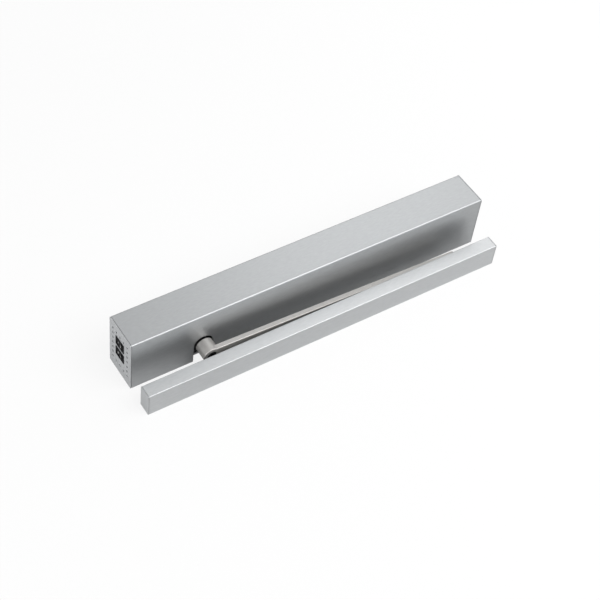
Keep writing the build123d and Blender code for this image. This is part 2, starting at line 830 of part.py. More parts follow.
# Motor support: bent sheet that straddles the spring and stands on the base plate
support_x = gearbox_x1 + motor_length - support_from_motor_end - support_length
support_top = motor_z - motor_diameter / 2
support_y0 = rack_y - spring_diameter / 2 - support_side_gap - support_sheet
support_y1 = rack_y + spring_diameter / 2 + support_side_gap + support_sheet
with BuildPart() as motor_support:
    with BuildSketch(plane_x(support_x)):
        with BuildLine():
            Polyline(
                (support_y0, base_thickness),
                (support_y0, support_top),
                (support_y1, support_top),
                (support_y1, base_thickness + support_sheet),
                (support_y1 + support_foot, base_thickness + support_sheet),
                (support_y1 + support_foot, base_thickness),
                (support_y1 - support_sheet, base_thickness),
                (support_y1 - support_sheet, support_top - support_sheet),
                (support_y0 + support_sheet, support_top - support_sheet),
                (support_y0 + support_sheet, base_thickness),
                close=True,
            )
        make_face()
    extrude(amount=support_length)

# Drive pinion with its shaft in the gearbox
with BuildPart() as drive_pinion:
    pinion_gap_at = mesh_angle + 180 + 180 / drive_teeth
    drive_y0 = gearbox_face_y + run_gap
    drive_y1 = gear_y + gear_face + drive_pinion_overhang
    add(spur_gear(drive_teeth, pinion_gap_at, drive_x, drive_z, drive_y0, drive_y1))
    with BuildSketch(plane_y(drive_y0)):
        with Locations((drive_x, drive_z)):
            Circle(drive_shaft_diameter / 2)
    extrude(amount=drive_shaft_length - drive_shaft_end_gap - run_gap)

# Rack that winds the spring as the arm opens: toothed bar, push plate and guide rod in one
rack_z_root = rack_pitch_z - tooth_root
rack_z_tip = rack_pitch_z + tooth_tip
rack_half = rack_pitch / 4 - backlash / 4
rack_corners = [(rack_x0, rack_bottom), (spring_x0, rack_bottom), (spring_x0, rack_z_root)]
for tooth in range(rack_teeth_right, -rack_teeth_left - 1, -1):
    tooth_x = spindle_x + tooth * rack_pitch
    root_half = rack_half + tooth_root * math.tan(pressure_angle)
    tip_half = rack_half - tooth_tip * math.tan(pressure_angle)
    rack_corners.append((tooth_x + root_half, rack_z_root))
    rack_corners.append((tooth_x + tip_half, rack_z_tip))
    rack_corners.append((tooth_x - tip_half, rack_z_tip))
    rack_corners.append((tooth_x - root_half, rack_z_root))
rack_corners.append((rack_x0, rack_z_root))
with BuildPart() as spring_rack:
    with BuildSketch(plane_y(rack_y + rack_width / 2)):
        with BuildLine():
            Polyline(*rack_corners, close=True)
        make_face()
    extrude(amount=rack_width)
    with BuildSketch(plane_x(spring_x0 - push_plate)):
        with Locations((rack_y, spring_height)):
            Circle(spring_diameter / 2)
    extrude(amount=push_plate)
    with BuildSketch(plane_x(spring_x0)):
        with Locations((rack_y, spring_height)):
            Circle(push_rod_diameter / 2)
    extrude(amount=push_rod_length)
    chamfer(spring_rack.faces().sort_by(Axis.X)[-1].edges(), push_rod_chamfer)

# Rack guide: channel block on the base plate under the spindle
with BuildPart() as rack_guide:
    guide_half = rack_width / 2 + run_gap + guide_cheek
    guide_middle, guide_height = span(base_thickness, rack_z_root - guide_below_teeth)
    with BuildSketch(plane_x(spindle_x - frame_left + frame_screw_inset)):
        with Locations((rack_y, guide_middle)):
            Rectangle(2 * guide_half, guide_height)
        with Locations((rack_y, rack_bottom - run_gap + operator_width / 2)):
            Rectangle(rack_width + 2 * run_gap, operator_width, mode=Mode.SUBTRACT)
    extrude(amount=frame_left + frame_right - 2 * frame_screw_inset)


def spring_axial(turn):
    """Distance of the wire's middle along the spring after so many turns."""
    open_pitch = (spring_length - spring_wire - 2 * spring_end_turns * spring_end_pitch - 2 * press_gap) / (
        spring_turns - 2 * spring_end_turns
    )
    first = min(turn, spring_end_turns) * spring_end_pitch
    middle = min(max(turn - spring_end_turns, 0), spring_turns - 2 * spring_end_turns) * open_pitch
    last = max(turn - spring_turns + spring_end_turns, 0) * spring_end_pitch
    return spring_wire / 2 + press_gap + first + middle + last


def spring_point(turn):
    """Middle of the wire after so many turns."""
    radius = (spring_diameter - spring_wire) / 2
    angle = 2 * math.pi * turn
    return Vector(
        spring_x0 + spring_axial(turn),
        rack_y + radius * math.cos(angle),
        spring_height + radius * math.sin(angle),
    )


def spring_direction(turn):
    """Direction of the wire after so many turns."""
    radius = (spring_diameter - spring_wire) / 2
    angle = 2 * math.pi * turn
    step = 0.125
    low = max(turn - step, 0)
    high = min(turn + step, spring_turns)
    climb = (spring_axial(high) - spring_axial(low)) / (high - low) / (2 * math.pi)
    return Vector(climb, -radius * math.sin(angle), radius * math.cos(angle)).normalized()


# Closing spring: one wire wound on two arcs for each quarter turn
with BuildPart() as closing_spring:
    with BuildLine():
        for quarter in range(4 * spring_turns):
            start, end = spring_point(quarter / 4), spring_point((quarter + 1) / 4)
            leave, arrive = spring_direction(quarter / 4), spring_direction((quarter + 1) / 4)
            chord = end - start
            along = chord.dot(leave + arrive)
            bend = 2 * (1 - leave.dot(arrive))
            reach = (math.sqrt(along**2 + bend * chord.dot(chord)) - along) / bend
            bow_out, bow_in = start + leave * reach, end - arrive * reach
            join = (bow_out + bow_in) * 0.5
            TangentArc(start, join, tangent=leave)
            TangentArc(join, end, tangent=bow_in - bow_out)
    with BuildSketch(Plane(origin=spring_point(0), z_dir=spring_direction(0))):
        Circle(spring_wire / 2)
    sweep()
wire_points = [spring_point(step / 24) for step in range(24 * spring_turns + 1)]
spring_gap = min(
    (b - a).length
    for i, a in enumerate(wire_points)
    for b in wire_points[i + 12 :]
) - spring_wire
print("least gap between the spring's turns", round(spring_gap, 2))

# Spring seat: disc with a lug that keeps it from turning, moved by the tension screw
with BuildPart() as spring_seat:
    with BuildSketch(plane_x(spring_x1)):
        with Locations((rack_y, spring_height)):
            Circle(spring_diameter / 2)
        lug_middle, lug_height = span(base_thickness + run_gap, spring_height)
        with Locations((rack_y, lug_middle)):
            Rectangle(spring_diameter / 2, lug_height)
        with Locations((rack_y, spring_height)):
            Circle(tension_screw_diameter / 2 + shaft_gap, mode=Mode.SUBTRACT)
    extrude(amount=seat_thickness)

# Abutment: angle bracket on the base plate that takes the spring's load
with BuildPart() as spring_abutment:
    with BuildSketch(plane_y(rack_y + abutment_width / 2)):
        with BuildLine():
            Polyline(
                (abutment_x, base_thickness),
                (abutment_x + abutment_plate + abutment_foot, base_thickness),
                (abutment_x + abutment_plate + abutment_foot, base_thickness + abutment_plate),
                (abutment_x + abutment_plate, base_thickness + abutment_plate),
                (abutment_x + abutment_plate, abutment_height),
                (abutment_x, abutment_height),
                close=True,
            )
        make_face()
    extrude(amount=abutment_width)
    inner_corner = spring_abutment.edges().filter_by(Axis.Y).filter_by_position(
        Axis.X, abutment_x + abutment_plate - 0.1, abutment_x + abutment_plate + 0.1
    )
    fillet(inner_corner.sort_by(Axis.Z)[0], abutment_plate / 2)
    with BuildSketch(plane_x(abutment_x)):
        with Locations((rack_y, spring_height)):
            Circle(tension_screw_diameter / 2 + shaft_gap)
    extrude(amount=abutment_plate, mode=Mode.SUBTRACT)

# Tension screw: turns in the abutment between its collar and its hexagon head
with BuildPart() as tension_screw:
    screw_start = spring_x1 - tension_screw_reach
    head_x = abutment_x + abutment_plate + run_gap
    with BuildSketch(plane_x(screw_start)):
        with Locations((rack_y, spring_height)):
            Circle(tension_screw_diameter / 2)
    extrude(amount=head_x - screw_start)
    with BuildSketch(plane_x(head_x)):
        with Locations((rack_y, spring_height)):
            RegularPolygon(tension_head_width / 2, 6, major_radius=False)
    extrude(amount=tension_head_height)
    with BuildSketch(plane_x(abutment_x - run_gap - tension_collar)):
        with Locations((rack_y, spring_height)):
            Circle(tension_collar_diameter / 2)
    extrude(amount=tension_collar)

# Control board on four spacers
board_middle_x = board_x + board_length / 2
spacer_pitch_x = board_length - 2 * board_corner_inset
spacer_pitch_y = board_width - 2 * board_corner_inset
with BuildPart() as control_board:
    with BuildSketch(plane_z(board_z)):
        with Locations((board_middle_x, 0)):
            Rectangle(board_length, board_width)
    extrude(amount=board_thickness)
with BuildPart() as board_spacers:
    with BuildSketch(plane_z(base_thickness)):
        with Locations((board_middle_x, 0)):
            with GridLocations(spacer_pitch_x, spacer_pitch_y, 2, 2):
                Circle(standoff_diameter / 2)
    extrude(amount=board_height)

# Components on the board: two relays, a heat sink with fins, three capacitors and a processor
board_top = board_z + board_thickness
with BuildPart() as board_components:
    with BuildSketch(plane_z(board_top)):
        with Locations((board_x + relay_from_end, 0)):
            with GridLocations(0, relay_pitch, 1, 2):
                Rectangle(relay_length, relay_width)
    extrude(amount=relay_height)
    with BuildSketch(plane_z(board_top)):
        with Locations((board_x + sink_from_end, 0)):
            Rectangle(sink_length, sink_width)
    extrude(amount=sink_base)
    with BuildSketch(plane_z(board_top + sink_base)):
        with Locations((board_x + sink_from_end, 0)):
            with GridLocations(0, (sink_width - sink_fin) / (sink_fin_count - 1), 1, sink_fin_count):
                Rectangle(sink_length, sink_fin)
    extrude(amount=sink_fin_height)
    with BuildSketch(plane_z(board_top)):
        with Locations((board_x + capacitor_from_end, 0)):
            with GridLocations(0, capacitor_pitch, 1, 3):
                Circle(capacitor_diameter / 2)
    extrude(amount=capacitor_height)
    with BuildSketch(plane_z(board_top)):
        with Locations((board_x + processor_from_end, 0)):
            Rectangle(processor_side, processor_side)
    extrude(amount=processor_thickness)

# Plug-in terminal strips along the board's two short ends
with BuildPart() as terminal_strips:
    strip_places = ((board_x + strip_from_end, 0), (board_x + board_length - strip_from_end, 0))
    with BuildSketch(plane_z(board_top)):
        with Locations(*strip_places):
            Rectangle(strip_width, strip_length)
    extrude(amount=strip_height)
    with BuildSketch(plane_z(board_top + strip_height)):
        with Locations(*strip_places):
            with GridLocations(0, strip_length / strip_pole_count, 1, strip_pole_count):
                Circle(strip_hole_diameter / 2)
    extrude(amount=-strip_hole_depth, mode=Mode.SUBTRACT)

# Power supply in a closed case with louvres
with BuildPart() as power_supply:
    with BuildSketch(plane_z(base_thickness)):
        with Locations((supply_x + supply_length / 2, 0)):
            Rectangle(supply_length, supply_width)
    extrude(amount=supply_height)
    fillet(power_supply.edges().filter_by(Axis.Z), supply_corner)
    with BuildSketch(plane_z(base_thickness + supply_height)):
        with Locations((supply_x + supply_length / 2, 0)):
            with GridLocations(supply_length / (louvre_count + 1), 0, louvre_count, 1):
                SlotOverall(supply_width - 2 * louvre_margin, louvre_width, rotation=90)
    extrude(amount=-louvre_depth, mode=Mode.SUBTRACT)

# Mains terminal on the base plate, by the power switch
with BuildPart() as mains_terminal:
    mains_x = -half_length + mains_terminal_from_end + mains_terminal_length / 2
    with BuildSketch(plane_z(base_thickness)):
        with Locations((mains_x, 0)):
            Rectangle(mains_terminal_length, mains_terminal_width)
    extrude(amount=mains_terminal_height)
    with BuildSketch(plane_z(base_thickness + mains_terminal_height)):
        with Locations((mains_x, 0)):
            with GridLocations(mains_terminal_length / 2, mains_terminal_width / 3, 2, 3):
                Circle(mains_hole_diameter / 2)
    extrude(amount=-mains_hole_depth, mode=Mode.SUBTRACT)

# Arm: flat tapered bar with a round hub
with BuildPart() as arm:
    with BuildSketch(plane_y(hub_end + arm_thickness)):
        with Locations((spindle_x, spindle_height)):
            Circle(arm_root_width / 2)
        with Locations((pin_x, slot_height)):
            Circle(arm_tip_width / 2)
        make_hull()
    extrude(amount=arm_thickness)
    with BuildSketch(plane_y(hub_inner)):
        with Locations((spindle_x, spindle_height)):
            Circle(hub_diameter / 2)
    extrude(amount=hub_inner - hub_end)
    fillet(arm.faces().sort_by(Axis.Y)[0].outer_wire().edges(), hub_edge_radius)
    with BuildSketch(plane_y(hub_inner)):
        with Locations((spindle_x, spindle_height)):
            Rectangle(spindle_square + 2 * shaft_gap, spindle_square + 2 * shaft_gap)
    extrude(amount=spindle_square_length + run_gap, mode=Mode.SUBTRACT)
    with BuildSketch(plane_y(hub_end)):
        with Locations((spindle_x, spindle_height)):
            Circle(counterbore_diameter / 2)
    extrude(amount=-counterbore_depth, mode=Mode.SUBTRACT)
    with BuildSketch(plane_y(hub_end)):
        with Locations((spindle_x, spindle_height)):
            Circle(arm_screw_diameter / 2 + fit_gap)
        with Locations((pin_x, slot_height)):
            Circle(slider_pin_diameter / 2 + press_gap)
    extrude(amount=-(hub_inner - hub_end), mode=Mode.SUBTRACT)

# Arm screw: socket head at the bottom of the hub's counterbore
with BuildPart() as arm_screw:
    with BuildSketch(plane_y(hub_end + counterbore_depth)):
        with Locations((spindle_x, spindle_height)):
            Circle(arm_screw_head / 2)
    extrude(amount=arm_screw_head_height)
    with BuildSketch(plane_y(hub_end + counterbore_depth - arm_screw_head_height)):
        with Locations((spindle_x, spindle_height)):
            RegularPolygon(arm_screw_socket / 2, 6, major_radius=False)
    extrude(amount=-arm_screw_head_height / 2, mode=Mode.SUBTRACT)
    with BuildSketch(plane_y(hub_end + counterbore_depth)):
        with Locations((spindle_x, spindle_height)):
            Circle(arm_screw_diameter / 2)
    extrude(amount=-arm_screw_length)

# Slider pin, riveted into the arm's tip, with a collar that spaces the arm from the rail
with BuildPart() as slider_pin:
    pin_end = slider_y0 - pin_tail
    with BuildSketch(plane_y(hub_end + arm_thickness)):
        with Locations((pin_x, slot_height)):
            Circle(slider_pin_diameter / 2)
    extrude(amount=hub_end + arm_thickness - pin_end)
    with BuildSketch(plane_y(hub_end)):
        with Locations((pin_x, slot_height)):
            Circle(pin_collar_diameter / 2)
    extrude(amount=rail_gap - pin_collar_gap)
    with BuildSketch(plane_y(hub_end + arm_thickness + pin_head)):
        with Locations((pin_x, slot_height)):
            Circle(pin_head_diameter / 2)
    extrude(amount=pin_head)
    fillet(slider_pin.faces().sort_by(Axis.Y)[-1].edges(), pin_head / 2)

# Slider block in the rail's channel
with BuildPart() as slider_block:
    with BuildSketch(plane_y(slider_y1)) as outline:
        with Locations((pin_x, slot_height)):
            Rectangle(slider_length, channel_width - 2 * run_gap)
        fillet(outline.vertices(), slider_end_radius)
        with Locations((pin_x, slot_height)):
            Circle(slider_pin_diameter / 2 + shaft_gap, mode=Mode.SUBTRACT)
    extrude(amount=slider_thickness)

# Clip that keeps the slider on its pin
with BuildPart() as slider_clip:
    with BuildSketch(plane_y(slider_y0 - run_gap)):
        with Locations((pin_x, slot_height)):
            Circle(clip_diameter / 2)
            Circle(slider_pin_diameter / 2 + press_gap, mode=Mode.SUBTRACT)
    extrude(amount=clip_thickness)

# Rail track: extruded channel, screwed to the door leaf through its floor
with BuildPart() as rail_track:
    with BuildSketch(plane_x(track_x0)):
        y_middle, y_length = span(track_y0, rail_y1)
        with Locations((y_middle, track_height / 2)):
            Rectangle(y_length, track_height)
        y_middle, y_length = span(channel_y0, channel_y1)
        channel_low = slot_height - channel_width / 2
        channel_high = slot_height + channel_width / 2
        for low, high in (
            (track_wall, channel_low - track_web),
            (channel_low, channel_high),
            (channel_high + track_web, track_height - track_wall),
        ):
            z_middle, z_length = span(low, high)
            with Locations((y_middle, z_middle)):
                Rectangle(y_length, z_length, mode=Mode.SUBTRACT)
        with Locations((rail_y1, slot_height)):
            Rectangle(2 * track_wall, slot_width, mode=Mode.SUBTRACT)
    extrude(amount=track_length)
    for pitch in door_hole_pitches:
        with BuildSketch(plane_z(0)):
            with Locations((rail_middle, door_hole_y)):
                with GridLocations(pitch, 0, 2, 1):
                    Circle(door_hole_diameter / 2)
        extrude(amount=track_wall, mode=Mode.SUBTRACT)
        with BuildSketch(plane_z(track_wall)):
            with Locations((rail_middle, door_hole_y)):
                with GridLocations(pitch, 0, 2, 1):
                    Circle(door_tool_hole / 2)
        extrude(amount=track_height, mode=Mode.SUBTRACT)

# Rail cover: profile that clips over the track and hides its screws
with BuildPart() as rail_cover:
    with BuildSketch(plane_x(track_x0)):
        inner_top = rail_height - rail_cover_wall
        with BuildLine():
            Polyline(
                (rail_y0, 0),
                (rail_y0, rail_height),
                (rail_y1, rail_height),
                (rail_y1, track_height + fit_gap),
                (rail_y1 - rail_cover_wall, track_height + fit_gap),
                (rail_y1 - rail_cover_wall, inner_top),
                (rail_y0 + rail_cover_wall, inner_top),
                (rail_y0 + rail_cover_wall, 0),
                close=True,
            )
        make_face()
        z_middle, z_length = span(track_height, inner_top)
        for y in (channel_y0 - track_wall / 2, channel_y1 - track_wall):
            with Locations((y, z_middle)):
                Rectangle(rail_rib, z_length)
    extrude(amount=track_length)
    long_edges = rail_cover.edges().filter_by(Axis.X)
    fillet(long_edges.filter_by_position(Axis.Z, rail_height - 0.1, rail_height + 0.1), rail_edge_radius)


def rail_cap(side):
    """Rail end cap with a spigot in the track's channel; side is -1 at the left end."""
    outer_x = rail_x0 if side < 0 else rail_x1
    with BuildPart() as cap:
        with BuildSketch(plane_x(outer_x)) as outline:
            with Locations(((rail_y0 + rail_y1) / 2, rail_height / 2)):
                Rectangle(rail_width, rail_height)
            fillet(outline.vertices().group_by(Axis.Y)[-1], rail_edge_radius)
        extrude(amount=-side * rail_cap_thickness)
        fillet(cap.faces().sort_by(Axis.X)[0 if side < 0 else -1].edges(), cap_edge_radius)
        with BuildSketch(plane_x(outer_x - side * rail_cap_thickness)):
            with Locations(((channel_y0 + channel_y1) / 2, slot_height)):
                Rectangle(channel_y1 - channel_y0 - 2 * fit_gap, channel_width - 2 * fit_gap)
        extrude(amount=-side * rail_spigot)
    return cap.part


with BuildPart() as rail_cap_left:
    add(rail_cap(-1))
with BuildPart() as rail_cap_right:
    add(rail_cap(1))

# Stop in the rail that limits the opening: clamp, its screw and a rubber bumper
bumper_x1 = pin_x - slider_length / 2 - rail_travel - run_gap
bumper_x0 = bumper_x1 - bumper_length
stop_middle = bumper_x0 - stop_length / 2
with BuildPart() as stop_clamp:
    with BuildSketch(plane_y(slider_y1)):
        with Locations((stop_middle, slot_height)):
            Rectangle(stop_length, channel_width - 2 * fit_gap)
            Circle(stop_screw_diameter / 2 + press_gap, mode=Mode.SUBTRACT)
    extrude(amount=slider_thickness)
with BuildPart() as stop_screw:
    with BuildSketch(plane_y(slider_y1)):
        with Locations((stop_middle, slot_height)):
            Circle(stop_screw_diameter / 2)
    extrude(amount=slider_y1 - channel_y0)
with BuildPart() as stop_bumper:
    with BuildSketch(plane_x(bumper_x0)):
        with Locations(((slider_y0 + slider_y1) / 2, slot_height)):
            Rectangle(slider_thickness - 2 * bumper_margin_y, channel_width - 2 * bumper_margin_z)
    extrude(amount=bumper_length)
    fillet(stop_bumper.faces().sort_by(Axis.X)[-1].edges(), bumper_edge_radius)

pieces = {
    "base_plate": base_plate,
    "cover": cover,
    "left_end_cap": left_end_cap,
    "right_end_cap": right_end_cap,
    "cap_screws": cap_screws,
    "power_switch_body": power_switch_body,
    "power_switch_rocker": power_switch_rocker,
    "program_switch_body": program_switch_body,
    "program_switch_rocker": program_switch_rocker,
    "frame_plate_front": frame_plate_front,
    "frame_plate_rear": frame_plate_rear,
    "frame_pillars": frame_pillars,
    "frame_screws": frame_screws,
    "spindle_bush_front": spindle_bush_front,
    "spindle_bush_rear": spindle_bush_rear,
    "spindle": spindle,
    "spindle_ring": spindle_ring,
    "main_gear": main_gear,
    "rack_pinion": rack_pinion,
    "gearbox": gearbox,
    "gearbox_screws": gearbox_screws,
    "motor": motor,
    "motor_support": motor_support,
    "drive_pinion": drive_pinion,
    "spring_rack": spring_rack,
    "rack_guide": rack_guide,
    "closing_spring": closing_spring,
    "spring_seat": spring_seat,
    "spring_abutment": spring_abutment,
    "tension_screw": tension_screw,
    "control_board": control_board,
    "board_spacers": board_spacers,
    "board_components": board_components,
    "terminal_strips": terminal_strips,
    "power_supply": power_supply,
    "mains_terminal": mains_terminal,
    "arm": arm,
    "arm_screw": arm_screw,
    "slider_pin": slider_pin,
    "slider_block": slider_block,
    "slider_clip": slider_clip,
    "rail_track": rail_track,
    "rail_cover": rail_cover,
    "rail_cap_left": rail_cap_left,
    "rail_cap_right": rail_cap_right,
    "stop_clamp": stop_clamp,
    "stop_screw": stop_screw,
    "stop_bumper": stop_bumper,
}
os.makedirs("parts", exist_ok=True)
for name, piece in pieces.items():
    piece.part.label = name
    export_step(piece.part, f"parts/{name}.step")
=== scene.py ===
# Looks of an electric swing-door closer: materials, studio light and camera around the CAD frame.
# Units are metres, in the CAD frame: X along the housing, -Y towards the arm, +Z out of the wall.
import json
import math
import bmesh
import bpy
from mathutils import Matrix, Vector


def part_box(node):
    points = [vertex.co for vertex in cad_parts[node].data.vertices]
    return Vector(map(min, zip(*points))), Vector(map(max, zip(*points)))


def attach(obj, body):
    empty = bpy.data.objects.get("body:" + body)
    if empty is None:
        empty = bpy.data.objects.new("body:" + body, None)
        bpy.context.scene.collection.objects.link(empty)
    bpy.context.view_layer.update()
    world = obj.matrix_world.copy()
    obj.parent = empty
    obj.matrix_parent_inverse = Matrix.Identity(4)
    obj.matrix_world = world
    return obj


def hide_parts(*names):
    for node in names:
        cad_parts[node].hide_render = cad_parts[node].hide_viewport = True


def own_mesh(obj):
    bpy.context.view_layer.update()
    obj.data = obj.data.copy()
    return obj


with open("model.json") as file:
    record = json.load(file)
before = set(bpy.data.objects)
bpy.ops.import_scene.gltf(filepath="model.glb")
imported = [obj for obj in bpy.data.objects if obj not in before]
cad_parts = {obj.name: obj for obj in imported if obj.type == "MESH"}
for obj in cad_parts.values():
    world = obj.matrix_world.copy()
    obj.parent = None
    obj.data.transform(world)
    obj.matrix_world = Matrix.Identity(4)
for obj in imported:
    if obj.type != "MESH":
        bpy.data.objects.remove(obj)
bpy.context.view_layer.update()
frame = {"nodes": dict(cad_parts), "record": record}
nodes = frame["nodes"]
scene = bpy.context.scene
scene.view_settings.view_transform = "Standard"


# Shader helpers

noise_span = (0.3, 0.7)  # the part of a noise value's range that colour and gloss are spread over
noise_roughness = 0.55
cloud_detail, grain_detail = 3.0, 2.0
coat_roughness = 0.12


def new_material(name):
    material = bpy.data.materials.new(name)
    material.use_nodes = True
    tree = material.node_tree
    return material, tree, tree.nodes["Principled BSDF"]


def noise(tree, scale, stretch, detail):
    """Noise over the piece's own coordinates; stretch below 1 draws it out along that axis."""
    place = tree.nodes.new("ShaderNodeTexCoord")
    mapping = tree.nodes.new("ShaderNodeMapping")
    mapping.inputs["Scale"].default_value = stretch
    texture = tree.nodes.new("ShaderNodeTexNoise")
    texture.inputs["Scale"].default_value = scale
    texture.inputs["Detail"].default_value = detail
    texture.inputs["Roughness"].default_value = noise_roughness
    tree.links.new(place.outputs["Object"], mapping.inputs["Vector"])
    tree.links.new(mapping.outputs["Vector"], texture.inputs["Vector"])
    return texture.outputs["Fac"]


def remap(tree, value, source, target=(0, 1), smooth=False):
    """Maps a value from the range source onto the range target, and holds it within that range."""
    node = tree.nodes.new("ShaderNodeMapRange")
    if smooth:
        node.interpolation_type = "SMOOTHSTEP"
    limits = zip(("From Min", "From Max", "To Min", "To Max"), (*source, *target))
    for label, limit in limits:
        node.inputs[label].default_value = limit
    tree.links.new(value, node.inputs["Value"])
    return node.outputs["Result"]


def colours(tree, value, first, second):
    """Colour ramp between two colours along a noise value."""
    ramp = tree.nodes.new("ShaderNodeValToRGB")
    for stop, position, colour in zip(ramp.color_ramp.elements, noise_span, (first, second)):
        stop.position = position
        stop.color = (*colour, 1)
    tree.links.new(value, ramp.inputs["Fac"])
    return ramp.outputs["Color"]


def bump(tree, shader, value, strength, distance):
    """Lets a height value ripple the shader's normal."""
    node = tree.nodes.new("ShaderNodeBump")
    node.inputs["Strength"].default_value = strength
    node.inputs["Distance"].default_value = distance
    tree.links.new(value, node.inputs["Height"])
    tree.links.new(node.outputs["Normal"], shader.inputs["Normal"])


def combine(tree, operation, first, second):
    """Math node on two sockets or numbers."""
    node = tree.nodes.new("ShaderNodeMath")
    node.operation = operation
    for socket, value in zip(node.inputs, (first, second)):
        if isinstance(value, (int, float)):
            socket.default_value = value
        else:
            tree.links.new(value, socket)
    return node.outputs[0]


def blend(tree, share, first, second):
    """Mix of two shaders, by the share of the second."""
    node = tree.nodes.new("ShaderNodeMixShader")
    tree.links.new(share, node.inputs["Fac"])
    tree.links.new(first, node.inputs[1])
    tree.links.new(second, node.inputs[2])
    return node.outputs["Shader"]


def surface(name, first, second, rough, scale, grain, metallic=0.0, stretch=(1, 1, 1),
            grain_stretch=(1, 1, 1), depth=0.00003, strength=0.35, specular=0.5, coat=0.0):
    """Material with cloudy colour, uneven gloss and a fine surface grain."""
    material, tree, shader = new_material(name)
    shader.inputs["Metallic"].default_value = metallic
    shader.inputs["Specular IOR Level"].default_value = specular
    if coat:
        shader.inputs["Coat Weight"].default_value = coat
        shader.inputs["Coat Roughness"].default_value = coat_roughness
    cloud = noise(tree, scale, stretch, cloud_detail)
    fine = noise(tree, grain, grain_stretch, grain_detail)
    tree.links.new(colours(tree, cloud, first, second), shader.inputs["Base Color"])
    tree.links.new(remap(tree, fine, noise_span, rough), shader.inputs["Roughness"])
    bump(tree, shader, fine, strength, depth)
    return material


# Materials by slot: two colours, a range of roughness and the grain of each finish

drawn = (0.02, 1, 1)  # grain drawn out along X, as on extruded metal
drawn_cloud = (0.05, 1, 1)
brushed = {
    "scale": 420, "stretch": (0.22, 1, 1),
    "grain": 3000, "grain_stretch": drawn, "depth": 0.000004, "strength": 0.2,
}
looks = {
    "anodised": surface(
        "anodised_aluminium", (0.328, 0.337, 0.344), (0.357, 0.366, 0.373), (0.36, 0.44),
        metallic=0.86, **brushed),
    "cap_grey": surface(
        "silver_cap", (0.4, 0.411, 0.419), (0.424, 0.435, 0.443), (0.4, 0.52),
        metallic=0.4, scale=80, grain=2200, depth=0.00002, strength=0.3),
    "plate": surface(
        "mill_aluminium", (0.52, 0.53, 0.54), (0.60, 0.61, 0.62), (0.36, 0.5),
        metallic=1.0, scale=30, stretch=drawn_cloud, grain=1500, grain_stretch=drawn),
    "black_plastic": surface(
        "black_plastic", (0.004, 0.004, 0.005), (0.008, 0.008, 0.009), (0.3, 0.44),
        scale=120, grain=2400, depth=0.00002, specular=0.02),
    "arm_paint": surface(
        "cast_grey_paint", (0.45, 0.437, 0.42), (0.49, 0.478, 0.461), (0.42, 0.56),
        metallic=0.8, scale=140, grain=1300, depth=0.00005, strength=0.4),
    # Dark and dull: the screws' and spindle's own black oxide, and painted shade where the spindle
    # shows in the notch
    "black_oxide": surface(
        "black_oxide", (0.010, 0.010, 0.011), (0.022, 0.022, 0.023), (0.34, 0.5),
        metallic=0.5, scale=200, grain=1800, specular=0.2),
    "zinc": surface(
        "zinc_plate", (0.55, 0.56, 0.55), (0.66, 0.66, 0.64), (0.28, 0.42),
        metallic=1.0, scale=70, grain=1400),
    "steel": surface(
        "machined_steel", (0.40, 0.40, 0.41), (0.52, 0.52, 0.53), (0.25, 0.4),
        metallic=1.0, scale=90, grain=1600),
    # Dark and dull: the own dark finish of the sintered parts and frame plates, and painted shade, so
    # that the inside seen through the notch is black
    "sintered": surface(
        "sintered_iron_and_painted_shade", (0.015, 0.015, 0.016), (0.03, 0.03, 0.031), (0.5, 0.65),
        metallic=0.5, scale=160, grain=1500, specular=0.2),
    "frame_black": surface(
        "frame_paint_and_painted_shade", (0.010, 0.010, 0.011), (0.018, 0.018, 0.019), (0.5, 0.65),
        scale=90, grain=1300, specular=0.2),
    "casting": surface(
        "cast_aluminium", (0.42, 0.43, 0.44), (0.54, 0.55, 0.56), (0.45, 0.6),
        metallic=0.9, scale=150, grain=900, depth=0.00008, strength=0.5),
    "motor_black": surface(
        "motor_paint", (0.02, 0.02, 0.022), (0.035, 0.035, 0.037), (0.35, 0.5),
        metallic=0.1, scale=90, grain=1300),
    "spring_steel": surface(
        "spring_steel", (0.10, 0.10, 0.105), (0.18, 0.175, 0.17), (0.3, 0.45),
        metallic=0.9, scale=130, grain=1400),
    "guide_plastic": surface(
        "acetal", (0.72, 0.71, 0.67), (0.78, 0.77, 0.73), (0.4, 0.52),
        scale=60, grain=1500),
    "board_green": surface(
        "solder_mask", (0.008, 0.075, 0.03), (0.014, 0.10, 0.042), (0.2, 0.34),
        scale=400, grain=1200, coat=0.4),
    "component_black": surface(
        "moulded_black", (0.012, 0.012, 0.013), (0.022, 0.022, 0.024), (0.4, 0.55),
        scale=150, grain=1600),
    "terminal_green": surface(
        "terminal_green", (0.03, 0.18, 0.06), (0.04, 0.22, 0.08), (0.38, 0.5),
        scale=120, grain=1500),
    "terminal_white": surface(
        "terminal_white", (0.66, 0.66, 0.63), (0.72, 0.72, 0.69), (0.4, 0.52),
        scale=120, grain=1500),
    "supply_case": surface(
        "supply_case", (0.52, 0.53, 0.54), (0.62, 0.63, 0.64), (0.3, 0.45),
        metallic=1.0, scale=40, stretch=(1, 1, 0.06), grain=1500, grain_stretch=(1, 1, 0.02)),
    "rubber": surface(
        "rubber", (0.012, 0.012, 0.012), (0.02, 0.02, 0.02), (0.6, 0.75),
        scale=150, grain=1200),
}
# The rail's profiles share the anodised slot, and get a lighter copy of it than the housing: painted
# light, standing in for the stronger light that the rail catches
rail_profiles = ("rail_cover", "rail_track")
# Painted light: a lighter copy of the housing's anodised finish
rail_lit_copy = surface(
    "anodised_rail_painted_lighter", (0.431, 0.441, 0.448), (0.469, 0.479, 0.486), (0.34, 0.42),
    metallic=0.9, **brushed)
slot_of = {part["node"]: part["material_slot"] for part in frame["record"]["subparts"]}
for name, piece in nodes.items():
    piece.data.materials.clear()
    piece.data.materials.append(rail_lit_copy if name in rail_profiles else looks[slot_of[name]])


# Closing spring in two lengths: the long one from the rack's end, the short one at the tension screw's
# seat

